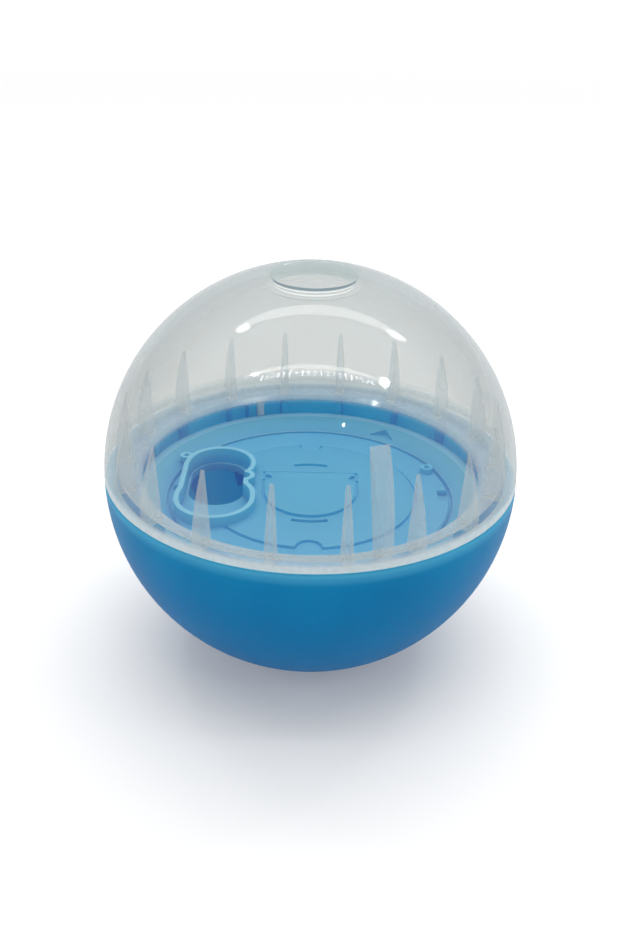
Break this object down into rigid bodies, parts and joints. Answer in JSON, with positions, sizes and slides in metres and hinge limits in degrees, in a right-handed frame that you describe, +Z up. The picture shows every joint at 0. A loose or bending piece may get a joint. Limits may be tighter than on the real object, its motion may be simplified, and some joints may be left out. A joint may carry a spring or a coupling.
{
  "type": "treat ball",
  "caption": "Two-part ball toy with a clear ribbed dome, a hole at its top, a blue bowl and an inner partition whose turning selector sets how fast treats fall out.",
  "frame": {"origin": "centre of the flat foot under the ball, at the bottom centre of the whole ball", "axes": "+Z up through the treat hole, -Y towards the front as pictured, +X to the right"},
  "size_m": [0.08, 0.08, 0.0783],
  "materials": {
    "clear_plastic": "gloss, clear and slightly milky",
    "blue_bowl_plastic": "satin",
    "blue_insert_plastic": "satin"
  },
  "bodies": {
    "bowl": {"bowl": "blue_bowl_plastic"},
    "dome": {"dome": "clear_plastic"},
    "partition": {"partition": "blue_insert_plastic"},
    "selector": {"selector": "blue_insert_plastic"}
  },
  "joints": [
    {"name": "dome_lift", "type": "slide", "parent": "bowl", "child": "dome", "axis": [0, 0, 1], "range_m": [0, 0.06]},
    {"name": "partition_lift", "type": "slide", "parent": "bowl", "child": "partition", "axis": [0, 0, 1], "range_m": [0, 0.03]},
    {"name": "selector_turn", "type": "hinge", "parent": "partition", "child": "selector", "pos_m": [0, 0, 0.03039], "axis": [0, 0, 1], "continuous": true}
  ],
  "couplings": [
    {"joint": "partition_lift", "follows": "dome_lift", "ratio": 0.5}
  ]
}
